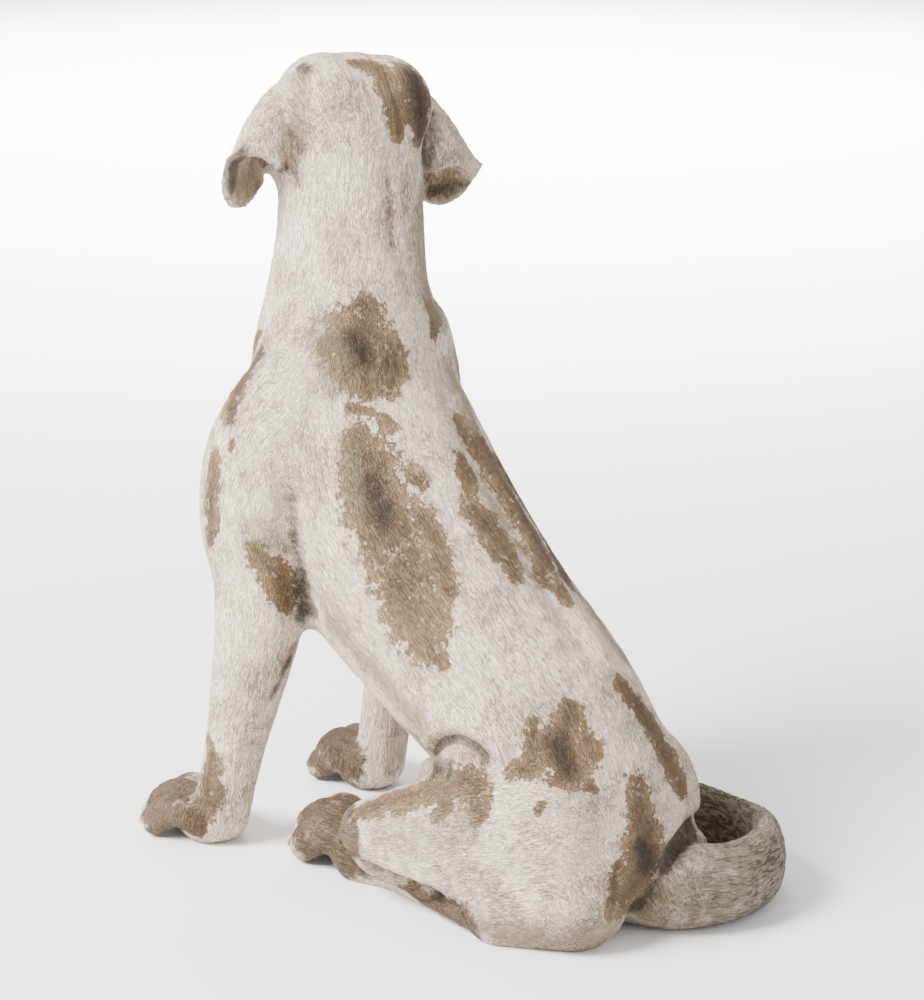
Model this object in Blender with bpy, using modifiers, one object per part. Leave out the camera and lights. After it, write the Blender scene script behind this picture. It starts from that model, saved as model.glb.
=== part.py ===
"""A dog sitting up with its head held high, cast in one piece for a garden.

The figure is built as a sculptor builds one: balls of clay are laid along the bones, fused into
one skin, settled so that the creases fill, carved along named strokes, and cut flat underneath.
The dog faces -Y, its left side is towards +X, and it sits on the ground at Z = 0.
"""

import math

import bmesh
import bpy
import numpy as np
from mathutils import Matrix, Vector

# The one driving size, from the ground to the crown of the head, in metres.
HEIGHT = 0.78

# Figures below are the statue's own centimetres: it is 78 of them tall.
CM = HEIGHT / 78

# How finely the clay is fused, first for the big masses and then for ears, feet and tail.
COARSE_VOXEL = 0.62 * CM
FINE_VOXEL = 0.40 * CM

# How often each fusing is settled, and how much of the crests that takes.
BODY_PASSES = 24
BODY_SHAVE = 0.12
DETAIL_PASSES = 6
DETAIL_SHAVE = 0.3

# The solid's number of triangles before its underside is cut flat.
TRIANGLES = 9600

# The head is turned to the dog's right, and its frame starts at the middle of the skull.
SKULL_CENTRE = (-0.4, 13.6, 70.91)
HEAD_TURN = math.radians(18)


def at(left, forward, up):
    """A point of the dog, from centimetres to its left, in front and above the ground."""
    return Vector((left, -forward, up)) * CM


def head_frame():
    """The matrix that takes the head's own centimetres to the figure's frame."""
    return Matrix.Translation(at(*SKULL_CENTRE)) @ Matrix.Rotation(-HEAD_TURN, 4, "Z")


def spline(keys, per_span):
    """Rows of numbers that run smoothly through the keys, as a Catmull-Rom curve does."""
    keys = np.array(keys, float)
    padded = np.vstack([2 * keys[0] - keys[1], keys, 2 * keys[-1] - keys[-2]])
    rows = []
    for span in range(len(keys) - 1):
        before, start, end, after = padded[span : span + 4]
        for step in range(per_span):
            t = step / per_span
            rows.append(
                0.5
                * (
                    2 * start
                    + (end - before) * t
                    + (2 * before - 5 * start + 4 * end - after) * t**2
                    + (3 * start - before - 3 * end + after) * t**3
                )
            )
    return np.array(rows + [keys[-1]])


def unit_ball():
    """The one round ball that every ball of clay is a stretched copy of."""
    made = bpy.data.meshes.get("unit_ball")
    if made is None:
        made = bpy.data.meshes.new("unit_ball")
        sphere = bmesh.new()
        bmesh.ops.create_uvsphere(sphere, u_segments=20, v_segments=12, radius=1.0)
        sphere.to_mesh(made)
        sphere.free()
    return made


def ball(clay, centre, radii, frame=Matrix.Identity(4), turn=0.0):
    """Presses one ball of clay on. Its radii run across, fore and aft, and up; turn tips it about X."""
    place = frame @ Matrix.Translation(at(*centre)) @ Matrix.Rotation(turn, 4, "X")
    pressed = unit_ball().copy()
    pressed.transform(place @ Matrix.Diagonal((*(r * CM for r in radii), 1.0)))
    clay.from_mesh(pressed)
    bpy.data.meshes.remove(pressed)


def strand(clay, keys, frame=Matrix.Identity(4), upright=False):
    """Lays balls close together along a limb. A key is (left, forward, up, half width, half depth).

    An upright strand, such as the tail, is as thick fore and aft as across, and its half depth is its
    half height.
    """
    longest = max(math.dist(a[:3], b[:3]) for a, b in zip(keys, keys[1:]))
    slimmest = min(key[4] for key in keys)
    per_span = max(3, math.ceil(longest / (0.45 * slimmest)))
    for left, forward, up, width, depth in spline(keys, per_span):
        ball(clay, (left, forward, up), (width, width if upright else depth, depth), frame)


def mirrored(keys):
    """The same keys on the dog's right side."""
    return [(-left, *rest) for left, *rest in keys]


# The trunk, from the breast down the sloping back to the seat.
TRUNK = [
    (1.2, 12.2, 44.5, 9.4, 10.8),
    (1.0, 10.6, 38.2, 11.0, 13.0),
    (0.6, 5.0, 31.0, 11.2, 12.7),
    (0.4, -3.2, 24.3, 10.9, 11.1),
    (-0.2, -11.2, 18.0, 11.0, 9.9),
    (-0.2, -16.0, 12.6, 10.9, 9.3),
    (0.2, -20.4, 8.4, 9.2, 7.8),
]
BREAST = [(1.2, 17.6, 40.0, 6.4, 6.6), (1.0, 15.0, 31.0, 5.6, 7.4), (0.6, 10.0, 25.0, 6.0, 7.0)]
NECK = [
    (1.2, 12.4, 48.0, 9.2, 10.2),
    (0.8, 13.0, 54.0, 7.6, 8.6),
    (0.4, 13.0, 60.0, 7.1, 7.5),
    (0.1, 13.2, 66.5, 7.1, 6.9),
]

# The left foreleg, shoulder to heel; the right one stands a little closer in.
LEFT_SHOULDER = [
    (5.4, 8.6, 50.5, 3.6, 4.6),
    (8.4, 12.2, 45.0, 4.6, 6.0),
    (10.4, 14.6, 39.5, 4.9, 6.6),
    (11.5, 15.0, 34.0, 4.7, 6.2),
    (11.7, 13.8, 28.6, 4.3, 5.4),
]
LEFT_FORELEG = [
    (11.7, 13.8, 28.6, 4.2, 5.2),
    (12.0, 14.0, 24.0, 4.0, 4.8),
    (12.4, 15.2, 17.6, 3.6, 3.9),
    (12.8, 16.8, 11.2, 3.1, 3.2),
    (13.1, 17.9, 6.6, 2.9, 3.0),
    (13.3, 18.8, 2.9, 3.0, 3.0),
]
RIGHT_SHOULDER = [
    (-3.4, 8.6, 50.5, 3.6, 4.6),
    (-6.4, 12.2, 45.0, 4.6, 6.0),
    (-8.2, 14.6, 39.5, 4.7, 6.4),
    (-8.8, 15.0, 34.0, 4.5, 6.0),
    (-8.7, 14.0, 28.6, 4.2, 5.2),
]
RIGHT_FORELEG = [
    (-8.7, 14.0, 28.6, 4.1, 5.0),
    (-8.7, 14.2, 24.0, 3.8, 4.5),
    (-8.6, 15.4, 17.6, 3.3, 3.6),
    (-8.3, 17.2, 11.2, 2.9, 3.0),
    (-8.1, 18.0, 6.6, 2.7, 2.8),
    (-8.0, 18.8, 2.9, 2.9, 2.9),
]

# A hind leg: the thigh lies out low from the hip to the knee, over the long flat foot.
THIGH = [
    (5.8, -18.4, 10.0, 6.2, 7.8),
    (8.2, -13.4, 8.8, 6.0, 7.0),
    (10.2, -8.6, 7.2, 4.8, 5.7),
    (11.3, -3.8, 6.2, 4.0, 4.2),
    (11.5, -1.6, 6.0, 3.2, 3.4),
]
SHANK = [(10.2, -4.4, 4.4, 2.8, 3.0), (9.8, -10.6, 2.8, 2.8, 3.0), (9.8, -15.0, 2.8, 3.3, 3.0)]
HIND_FOOT = [
    (9.6, -14.0, 2.4, 3.1, 2.8),
    (8.5, -6.0, 2.2, 2.9, 2.8),
    (8.3, -1.5, 2.4, 3.0, 3.1),
    (8.9, 2.2, 2.6, 3.5, 3.5),
]
SEAT = [(5.6, -22.5, 4.2, 5.6, 5.2), (7.3, -17.6, 3.0, 6.4, 4.8)]

# The tail lies on the ground and curls round to the dog's right.
TAIL = [
    (-0.4, -23.6, 5.2, 4.0, 4.8),
    (-3.4, -27.2, 4.2, 3.9, 4.3),
    (-7.8, -29.3, 3.7, 3.4, 3.7),
    (-13.2, -29.0, 3.7, 2.3, 3.8),
    (-17.8, -25.4, 3.6, 1.8, 3.6),
    (-19.9, -20.0, 3.3, 1.7, 3.2),
    (-19.6, -14.6, 3.4, 1.8, 3.3),
    (-17.4, -10.8, 3.1, 1.7, 3.1),
]
SHEATH = [(0.0, -6.0, 8.0, 2.4, 2.4), (0.3, 1.4, 8.4, 1.7, 1.7)]


def skull(clay, head):
    """The two lobes of the skull and the cheeks, in the head's own centimetres."""
    ball(clay, (0, 0.2, 0.6), (7.0, 7.4, 6.4), head)
    ball(clay, (0, -3.6, -0.4), (5.6, 4.0, 5.6), head)
    ball(clay, (0, 5.0, -2.4), (4.6, 5.0, 5.2), head)
    ball(clay, (3.0, -0.6, 2.1), (4.7, 6.0, 5.1), head)
    ball(clay, (-3.0, -0.6, 1.8), (4.6, 6.0, 4.9), head)
    for side in (-1, 1):
        ball(clay, (side * 4.4, 3.0, -2.8), (3.0, 4.4, 4.2), head)


def face(clay, head):
    """The brows, muzzle, hanging lips, lower jaw, nose and eyes, pressed on after the skull has settled."""
    strand(clay, [(0, 5.0, -0.4, 3.6, 3.2), (0, 9.5, -1.5, 2.8, 2.9), (0, 13.4, -1.9, 2.4, 2.6)], head)
    strand(clay, [(0, 3.0, -6.6, 4.0, 2.8), (0, 8.0, -7.3, 2.7, 1.8), (0, 12.0, -7.0, 1.9, 1.4)], head)
    ball(clay, (0, 15.2, -0.9), (1.9, 1.5, 1.5), head)
    for side in (-1, 1):
        lip = [(2.4, 4.6, -4.0, 2.6, 3.4), (2.2, 9.6, -4.4, 2.0, 2.7), (1.6, 13.4, -4.0, 1.9, 2.5)]
        strand(clay, [(side * left, *rest) for left, *rest in lip], head)
        brow = [(1.6, 6.1, 2.4, 1.2, 1.1), (3.2, 5.7, 3.0, 1.4, 1.2), (4.9, 4.2, 2.3, 1.3, 1.1)]
        strand(clay, [(side * left, *rest) for left, *rest in brow], head)
        ball(clay, (side * 3.5, 6.1, 1.0), (1.4, 1.4, 1.2), head)


# The ears' thickness, how much lower the right one hangs in the figure's centimetres, and the share of its
# length by which an ear's front rib is shorter, which rounds the tip.
EAR_THICKNESS = 1.2 * CM
RIGHT_DROOP = 1.2
TIP_ROUNDING = 0.09


# An ear's ribs from skull to free edge. The rear ones differ, because the left ear folds higher.
LEFT_REAR_RIB = [(6.2, -2.8, -5.4), (8.6, -3.6, -5.0), (9.8, -3.0, 0.6), (13.4, -1.2, -2.4)]
RIGHT_REAR_RIB = [(6.0, -2.8, -4.6), (8.2, -3.6, -4.4), (10.8, -3.4, -3.8), (13.1, -1.4, -2.8)]
MIDDLE_RIB = [(5.6, 0.6, 3.2), (8.0, 0.8, 3.0), (12.0, 1.2, 0.4), (11.6, 2.2, -7.4)]
FRONT_RIB = [(5.2, 4.2, 2.4), (6.6, 5.4, 1.8), (7.8, 6.2, -2.6), (7.0, 5.2, -7.0)]


def ear_rib(rear, share):
    """The four points of one rib of an ear, by its share of the way forward."""
    blend = np.array([(1 - share) * (1 - 2 * share), 4 * share * (1 - share), share * (2 * share - 1)])
    return np.tensordot(blend, np.array([rear, MIDDLE_RIB, FRONT_RIB]), axes=1)


def ear(name, side, rear, head, droop):
    """One ear: a leaf of even thickness that stands off the skull, folds over and hangs down."""
    across, along = 13, 15
    leaf = bmesh.new()
    rows = []
    for i in range(across):
        share = i / (across - 1)
        a, b, c, d = ear_rib(rear, share)
        reach = 1 - TIP_ROUNDING * max(0, 2 * share - 1) ** 3
        rows.append([])
        for j in range(along):
            t = reach * j / (along - 1)
            p = a * (1 - t) ** 3 + 3 * b * t * (1 - t) ** 2 + 3 * c * t**2 * (1 - t) + d * t**3
            rows[-1].append(leaf.verts.new(head @ at(side * p[0], p[1], p[2] - droop * t**3)))
    for low, high in zip(rows, rows[1:]):
        for j in range(along - 1):
            leaf.faces.new((low[j], low[j + 1], high[j + 1], high[j]))
    sheet = to_object(leaf, name)
    solidify = sheet.modifiers.new("Thickness", "SOLIDIFY")
    solidify.thickness = EAR_THICKNESS
    solidify.offset = 0.0
    return sheet


def paw(clay, heel, turn, size, width=1.0):
    """Four toes and the pads of one foot. heel is where the toes start, turn is its heading to the left."""
    frame = Matrix.Translation(at(*heel)) @ Matrix.Rotation(turn, 4, "Z") @ Matrix.Scale(size, 4)
    ball(clay, (0, 0.8, 2.4), (3.6 * width, 3.6, 2.9), frame)
    for place in (-1.5, -0.5, 0.5, 1.5):
        outer = abs(place) > 1
        side = place * 2.1 * width
        reach = 5.2 if outer else 7.0
        knuckle = 3.2 if outer else 3.9
        strand(
            clay,
            [
                (side * 0.80, 0.6, 2.8, 1.3, 1.7),
                (side * 0.98, reach * 0.52, knuckle, 1.35, 1.7),
                (side * 1.06, reach * 0.86, knuckle * 0.70, 1.3, 1.6),
                (side * 1.08, reach, 1.5, 1.15, 1.4),
            ],
            frame,
        )


def to_object(mesh_data, name):
    """Turns an edited mesh into an object in the dog's collection."""
    mesh = bpy.data.meshes.new(name)
    mesh_data.to_mesh(mesh)
    mesh_data.free()
    made = bpy.data.objects.new(name, mesh)
    bpy.context.scene.collection.objects.link(made)
    return made


def baked(obj):
    """Replaces an object's mesh by what its modifiers make of it."""
    graph = bpy.context.evaluated_depsgraph_get()
    mesh = bpy.data.meshes.new_from_object(obj.evaluated_get(graph))
    obj.modifiers.clear()
    obj.data = mesh
    return obj


def fused(parts, name, voxel):
    """Joins pieces of clay into one closed skin."""
    clay = bmesh.new()
    for part in parts:
        part = baked(part)
        clay.from_mesh(part.data)
        bpy.data.objects.remove(part)
    whole = to_object(clay, name)
    remesh = whole.modifiers.new("Fuse", "REMESH")
    remesh.mode = "VOXEL"
    remesh.voxel_size = voxel
    return baked(whole)


def arrays(mesh):
    """The places, outward directions and edges of a mesh."""
    count = len(mesh.vertices)
    places = np.empty(count * 3, np.float32)
    normals = np.empty(count * 3, np.float32)
    edges = np.empty(len(mesh.edges) * 2, np.int32)
    mesh.vertices.foreach_get("co", places)
    mesh.vertices.foreach_get("normal", normals)
    mesh.edges.foreach_get("vertices", edges)
    return places.reshape(-1, 3).astype(float), normals.reshape(-1, 3).astype(float), edges.reshape(-1, 2)


def move_to(obj, places):
    """Puts an object's points at new places."""
    obj.data.vertices.foreach_set("co", places.astype(np.float32).ravel())
    obj.data.update()


def settle(obj, passes, shave):
    """Fills the creases as a wet thumb does. Crests lose only the share shave of what smoothing takes."""
    places, normals, edges = arrays(obj.data)
    ends = np.concatenate([edges[:, 0], edges[:, 1]])
    others = np.concatenate([edges[:, 1], edges[:, 0]])
    valence = np.bincount(ends, minlength=len(places))[:, None]
    smooth = places.copy()
    for _ in range(passes):
        total = np.stack([np.bincount(ends, smooth[others, k], len(places)) for k in range(3)], axis=1)
        smooth = 0.5 * smooth + 0.5 * total / valence
    rise = ((smooth - places) * normals).sum(axis=1)
    slide = (smooth - places) - rise[:, None] * normals
    rise = np.where(rise > 0, rise, shave * rise)
    move_to(obj, places + 0.5 * slide + rise[:, None] * normals)


def nearness(points, path, width):
    """1 on the line through the path's points, falling to 0 beside it over the width and at its two ends."""
    lengths = np.linalg.norm(np.diff(path, axis=0), axis=1)
    starts = np.concatenate([[0], np.cumsum(lengths)])
    nearest = np.full(len(points), np.inf)
    reached = np.zeros(len(points))
    for start, end, length, before in zip(path, path[1:], lengths, starts):
        share = np.clip(((points - start) @ (end - start)) / length**2, 0, 1)
        away = np.linalg.norm(points - start - share[:, None] * (end - start), axis=1)
        closer = away < nearest
        nearest = np.where(closer, away, nearest)
        reached = np.where(closer, before + share * length, reached)
    from_end = np.minimum(reached, starts[-1] - reached)
    taper = np.clip((from_end + 0.5 * width) / (2.0 * width), 0, 1)
    return np.exp(-((nearest / width) ** 2)) * taper * taper * (3 - 2 * taper)


def carve(obj, marks):
    """Cuts each mark into the skin, or raises it where its depth is negative."""
    places, normals, _ = arrays(obj.data)
    depth = np.zeros(len(places))
    for keys, width, cut, frame in marks:
        path = [obj.closest_point_on_mesh(frame @ at(*key))[1] for key in spline(keys, 5)]
        depth += cut * CM * nearness(places, np.array(path), width * CM)
    move_to(obj, places - depth[:, None] * normals)


# Carving along the body, as (points, width, depth). A negative depth raises a ridge. Both flanks, both
# cheeks and both eyes carry the marks of their lists.
MIDLINE_MARKS = [
    ([(-0.8, 2.2, 47.5), (-1.0, -6.2, 37.3), (-0.6, -13.0, 29.8), (-0.4, -18.0, 24.4)], 1.3, 0.5),
    ([(-3.2, 1.6, 47.0), (-3.2, -6.6, 37.0), (-2.8, -13.2, 29.8), (-2.4, -19.5, 22.5)], 1.2, -0.3),
    ([(1.2, 6.6, 67.3), (1.3, 6.1, 63.2), (1.4, 5.6, 59.6)], 0.7, 0.4),
    (
        [(1.8, -26.0, 1.8), (-0.4, -27.4, 5.4), (-3.2, -27.2, 8.2), (-6.6, -25.0, 8.6), (-9.0, -22.4, 7.6)],
        0.8,
        0.9,
    ),
]
FLANK_MARKS = [
    ([(12.6, 8.6, 38.5), (12.2, 8.3, 33.0), (11.6, 8.2, 28.6), (9.4, 8.6, 24.8)], 1.2, 0.8),
    (
        [(9.8, -8.6, 14.4), (9.8, -9.6, 16.4), (9.9, -11.8, 17.8), (9.8, -14.2, 17.4), (10.2, -16.2, 16.2)],
        0.8,
        1.0,
    ),
    ([(9.2, -7.4, 15.4), (10.4, -9.2, 17.8), (10.6, -12.2, 19.4), (10.1, -15.4, 18.8)], 1.0, -0.5),
    ([(10.0, -9.0, 14.2), (10.4, -10.6, 15.9), (10.6, -13.0, 16.6), (11.0, -15.0, 16.0)], 0.8, -0.8),
    ([(11.6, -11.4, 14.9), (11.8, -12.2, 15.1)], 0.9, 0.9),
    (
        [(10.8, 1.6, 7.0), (13.2, -1.6, 4.6), (14.2, -5.0, 4.2), (14.2, -9.0, 3.2), (13.6, -13.0, 2.2)],
        0.8,
        0.9,
    ),
    ([(13.8, -11.4, 5.2), (13.6, -15.4, 6.2)], 2.2, 0.5),
    ([(8.6, -3.6, 15.6), (9.6, -6.2, 13.2), (9.8, -8.2, 11.2)], 1.6, 0.9),
]
FACE_MARKS = [
    ([(0.8, 15.4, -5.9), (2.4, 13.0, -6.4), (3.2, 9.0, -6.6), (3.6, 5.4, -5.8)], 0.5, 0.5),
    ([(0.0, 7.6, 2.8), (0.0, 2.6, 6.6)], 0.9, 0.4),
]
EYE_SOCKETS = [([(5.4, 4.8, 1.2), (3.4, 6.8, 0.8), (1.8, 7.6, 0.2)], 1.5, 1.1)]


def paired(marks, frame):
    """Marks with their frame, on both sides."""
    left = [(keys, width, cut, frame) for keys, width, cut in marks]
    return left + [(mirrored(keys), width, cut, frame) for keys, width, cut in marks]


def all_marks(head):
    """Every mark with its frame, the flank's and the face's on both sides."""
    body = Matrix.Identity(4)
    marks = [(keys, width, cut, body) for keys, width, cut in MIDLINE_MARKS]
    return marks + paired(FLANK_MARKS, body) + paired(FACE_MARKS, head)


def flat_below(obj, level):
    """Cuts the skin off flat at a level and closes the cut."""
    skin = bmesh.new()
    skin.from_mesh(obj.data)
    whole = skin.verts[:] + skin.edges[:] + skin.faces[:]
    down = (0, 0, -1)
    cut = bmesh.ops.bisect_plane(skin, geom=whole, plane_co=(0, 0, level), plane_no=down, clear_outer=True)
    rim = [item for item in cut["geom_cut"] if isinstance(item, bmesh.types.BMEdge)]
    bmesh.ops.holes_fill(skin, edges=rim, sides=0)
    bmesh.ops.recalc_face_normals(skin, faces=skin.faces)
    skin.to_mesh(obj.data)
    skin.free()


def thinned(obj, triangles):
    """Keeps the form with fewer faces."""
    obj.data.calc_loop_triangles()
    decimate = obj.modifiers.new("Thin", "DECIMATE")
    decimate.ratio = triangles / len(obj.data.loop_triangles)
    return baked(obj)


def centred(obj):
    """Puts the middle of the figure's footprint over the origin."""
    places, _, _ = arrays(obj.data)
    middle = (places.min(axis=0) + places.max(axis=0)) / 2
    obj.data.transform(Matrix.Translation((-middle[0], -middle[1], 0)))


def finish(obj):
    """A chalky limewash over a tan body, the statue's main colour."""
    material = bpy.data.materials.new("limewashed_cast_stone")
    material.use_nodes = True
    shader = material.node_tree.nodes["Principled BSDF"]
    shader.inputs["Base Color"].default_value = (0.62, 0.58, 0.52, 1)
    shader.inputs["Roughness"].default_value = 0.85
    shader.inputs["Metallic"].default_value = 0.0
    obj.data.materials.append(material)
    obj.data.shade_smooth()


def main():
    for old in list(bpy.data.objects):
        bpy.data.objects.remove(old)
    head = head_frame()

    masses = bmesh.new()
    for keys in (TRUNK, BREAST, NECK, LEFT_SHOULDER, RIGHT_SHOULDER, LEFT_FORELEG, RIGHT_FORELEG):
        strand(masses, keys)
    for keys in (THIGH, SHANK, SEAT):
        strand(masses, keys)
        strand(masses, mirrored(keys))
    skull(masses, head)
    body = fused([to_object(masses, "masses")], "body", COARSE_VOXEL)
    settle(body, BODY_PASSES, BODY_SHAVE)
    carve(body, paired(EYE_SOCKETS, head))

    features = bmesh.new()
    strand(features, HIND_FOOT)
    strand(features, mirrored(HIND_FOOT))
    strand(features, TAIL, upright=True)
    strand(features, SHEATH)
    paw(features, (13.3, 19.4, 0.0), math.radians(8), 1.04)
    paw(features, (-8.0, 19.4, 0.0), math.radians(-4), 1.02)
    paw(features, (8.4, 2.1, 0.0), math.radians(-2), 1.2, 0.76)
    paw(features, (-8.4, 2.0, 0.0), math.radians(2), 1.14, 0.78)
    face(features, head)
    ears = [
        ear("left_ear", 1, LEFT_REAR_RIB, head, 0.0),
        ear("right_ear", -1, RIGHT_REAR_RIB, head, RIGHT_DROOP),
    ]
    dog = fused([body, to_object(features, "features"), *ears], "dog", FINE_VOXEL)
    settle(dog, DETAIL_PASSES, DETAIL_SHAVE)

    carve(dog, all_marks(head))
    thinned(dog, TRIANGLES)
    flat_below(dog, 0.0)
    centred(dog)
    finish(dog)


main()
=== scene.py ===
# %% [markdown]
# # A sitting dog, cast in one piece for a garden
#
# The statue is a life-size hound that sits with its head held high. It was modelled in clay, cast in a
# tan, stone-like mix, washed with lime white and left outdoors, so that the tan body shows in patches
# and dirt stays in the fur. This lesson keeps the frame's size and place, and builds the fine skin on
# bones of clay: balls, fused, settled and carved, then finished with worn paint.

# %% Load the frame
import math

import bmesh
import bpy
import numpy as np
from mathutils import Matrix, Vector


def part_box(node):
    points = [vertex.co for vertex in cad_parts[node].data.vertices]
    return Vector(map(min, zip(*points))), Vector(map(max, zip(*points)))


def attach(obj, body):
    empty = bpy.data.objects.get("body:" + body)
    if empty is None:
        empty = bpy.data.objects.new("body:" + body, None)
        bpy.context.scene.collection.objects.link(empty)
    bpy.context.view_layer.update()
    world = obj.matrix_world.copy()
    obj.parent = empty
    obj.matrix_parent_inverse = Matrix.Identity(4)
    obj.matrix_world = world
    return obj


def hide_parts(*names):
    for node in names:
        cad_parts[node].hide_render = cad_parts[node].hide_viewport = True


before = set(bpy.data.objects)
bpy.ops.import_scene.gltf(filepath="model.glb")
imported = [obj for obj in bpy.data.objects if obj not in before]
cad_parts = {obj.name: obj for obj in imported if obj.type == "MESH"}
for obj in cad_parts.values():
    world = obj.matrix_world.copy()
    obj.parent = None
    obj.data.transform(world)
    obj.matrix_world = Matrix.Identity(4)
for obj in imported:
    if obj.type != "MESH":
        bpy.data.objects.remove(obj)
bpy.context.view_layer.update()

box_low, box_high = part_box("dog")
print("the dog's box runs from", list(box_low), "to", list(box_high))

# %% [markdown]
# ## One measure for the whole figure
#
# A sculptor works from one height. Everything below is in the statue's own centimetres, 78 of them from
# the ground to the crown: first to the dog's left, then forward, then up. Only one function turns them
# into metres, so the figure follows the frame if its height changes.

# %% The measure
CENTIMETRES_TALL = 78
CM = (box_high[2] - box_low[2]) / CENTIMETRES_TALL

# Where the frame's origin, the middle of the footprint, lies in the figure's own centimetres.
FOOTPRINT_MIDDLE = (-1.51, -1.55)


def at(left, forward, up):
    """A point of the dog in metres, from its own centimetres."""
    return Vector((left - FOOTPRINT_MIDDLE[0], FOOTPRINT_MIDDLE[1] - forward, up)) * CM


def along(left, forward, up):
    """A step of the dog in metres, without the footprint's shift."""
    return Vector((left, -forward, up)) * CM


SKULL_CENTRE = (-0.4, 13.6, 70.91)
HEAD_TURN = math.radians(18)
BODY = Matrix.Translation(at(0, 0, 0))
HEAD = Matrix.Translation(at(*SKULL_CENTRE)) @ Matrix.Rotation(-HEAD_TURN, 4, "Z")
print("one of the figure's centimetres is", round(CM, 5), "m")

# %% [markdown]
# ## Clay along the bones
#
# A limb is a row of balls that swell and thin along a smooth line, which is how a figure is roughed out
# in clay. A few keys and a Catmull-Rom curve through them say as much as hundreds of points would, and
# each key can still be moved by hand when the outline is compared with the real dog.

# %% Balls, strands and the curve through their keys


def spline(keys, per_span):
    """Rows of numbers that run smoothly through the keys."""
    keys = np.array(keys, float)
    padded = np.vstack([2 * keys[0] - keys[1], keys, 2 * keys[-1] - keys[-2]])
    rows = []
    for span in range(len(keys) - 1):
        before, start, end, after = padded[span : span + 4]
        for t in np.arange(per_span) / per_span:
            slope = (end - before) * t
            bend = (2 * before - 5 * start + 4 * end - after) * t**2
            twist = (3 * start - before - 3 * end + after) * t**3
            rows.append(0.5 * (2 * start + slope + bend + twist))
    return np.array(rows + [keys[-1]])


def round_ball():
    """The one round ball that every ball of clay is a stretched copy of."""
    made = bpy.data.meshes.get("round_ball")
    if made is None:
        made = bpy.data.meshes.new("round_ball")
        sphere = bmesh.new()
        bmesh.ops.create_uvsphere(sphere, u_segments=28, v_segments=16, radius=1.0)
        sphere.to_mesh(made)
        sphere.free()
    return made


def ball(clay, centre, radii, place=BODY, turn=0.0):
    """Presses on one ball. Its radii run across, fore and aft, and up; turn tips it about X."""
    pressed = round_ball().copy()
    spot = place @ Matrix.Translation(along(*centre)) @ Matrix.Rotation(turn, 4, "X")
    pressed.transform(spot @ Matrix.Diagonal((*(r * CM for r in radii), 1.0)))
    clay.from_mesh(pressed)
    bpy.data.meshes.remove(pressed)


def strand(clay, keys, place=BODY, upright=False):
    """Lays balls close together. A key is left, forward, up, half width, half depth.

    An upright strand, such as the tail, is as thick fore and aft as across, and its half depth is its
    half height.
    """
    longest = max(math.dist(a[:3], b[:3]) for a, b in zip(keys, keys[1:]))
    slimmest = min(key[4] for key in keys)
    per_span = max(3, math.ceil(longest / (0.4 * slimmest)))
    for left, forward, up, width, depth in spline(keys, per_span):
        ball(clay, (left, forward, up), (width, width if upright else depth, depth), place)


def mirrored(keys):
    """The same keys on the dog's right side."""
    return [(-left, *rest) for left, *rest in keys]


print("a ball has", len(round_ball().polygons), "faces")

# %% [markdown]
# ## The bones
#
# The trunk slopes from the breast to the seat, the neck stands nearly upright on it, and each foreleg
# hangs from its shoulder blade. The hind legs lie folded: the thigh runs out low to the knee, over the
# long flat foot. The two forelegs differ, because the dog leans a little, and so does the tail, which
# lies on the ground and curls round to the right.

# %% The bones' keys
TRUNK = [
    (1.2, 12.2, 44.5, 9.4, 10.8),
    (1.0, 10.6, 38.2, 11.0, 13.0),
    (0.6, 5.0, 31.0, 11.2, 12.7),
    (0.4, -3.2, 24.3, 10.9, 11.1),
    (-0.2, -11.2, 18.0, 11.0, 9.9),
    (-0.2, -16.0, 12.6, 10.9, 9.3),
    (0.2, -20.4, 8.4, 9.2, 7.8),
]
BREAST = [(1.2, 17.6, 40.0, 6.4, 6.6), (1.0, 15.0, 31.0, 5.6, 7.4), (0.6, 10.0, 25.0, 6.0, 7.0)]
NECK = [
    (1.2, 12.4, 48.0, 9.2, 10.2),
    (0.8, 13.0, 54.0, 7.6, 8.6),
    (0.4, 13.0, 60.0, 7.1, 7.5),
    (0.1, 13.2, 66.5, 7.1, 6.9),
]
LEFT_SHOULDER = [
    (5.4, 8.6, 50.5, 3.6, 4.6),
    (8.4, 12.2, 45.0, 4.6, 6.0),
    (10.4, 14.6, 39.5, 4.9, 6.6),
    (11.5, 15.0, 34.0, 4.7, 6.2),
    (11.7, 13.8, 28.6, 4.3, 5.4),
]
LEFT_FORELEG = [
    (11.7, 13.8, 28.6, 4.2, 5.2),
    (12.0, 14.0, 24.0, 4.0, 4.8),
    (12.4, 15.2, 17.6, 3.6, 3.9),
    (12.8, 16.8, 11.2, 3.1, 3.2),
    (13.1, 17.9, 6.6, 2.9, 3.0),
    (13.3, 18.8, 2.9, 3.0, 3.0),
]
RIGHT_SHOULDER = [
    (-3.4, 8.6, 50.5, 3.6, 4.6),
    (-6.4, 12.2, 45.0, 4.6, 6.0),
    (-8.2, 14.6, 39.5, 4.7, 6.4),
    (-8.8, 15.0, 34.0, 4.5, 6.0),
    (-8.7, 14.0, 28.6, 4.2, 5.2),
]
RIGHT_FORELEG = [
    (-8.7, 14.0, 28.6, 4.1, 5.0),
    (-8.7, 14.2, 24.0, 3.8, 4.5),
    (-8.6, 15.4, 17.6, 3.3, 3.6),
    (-8.3, 17.2, 11.2, 2.9, 3.0),
    (-8.1, 18.0, 6.6, 2.7, 2.8),
    (-8.0, 18.8, 2.9, 2.9, 2.9),
]
THIGH = [
    (5.8, -18.4, 10.0, 6.2, 7.8),
    (8.2, -13.4, 8.8, 6.0, 7.0),
    (10.2, -8.6, 7.2, 4.8, 5.7),
    (11.3, -3.8, 6.2, 4.0, 4.2),
    (11.5, -1.6, 6.0, 3.2, 3.4),
]
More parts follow.
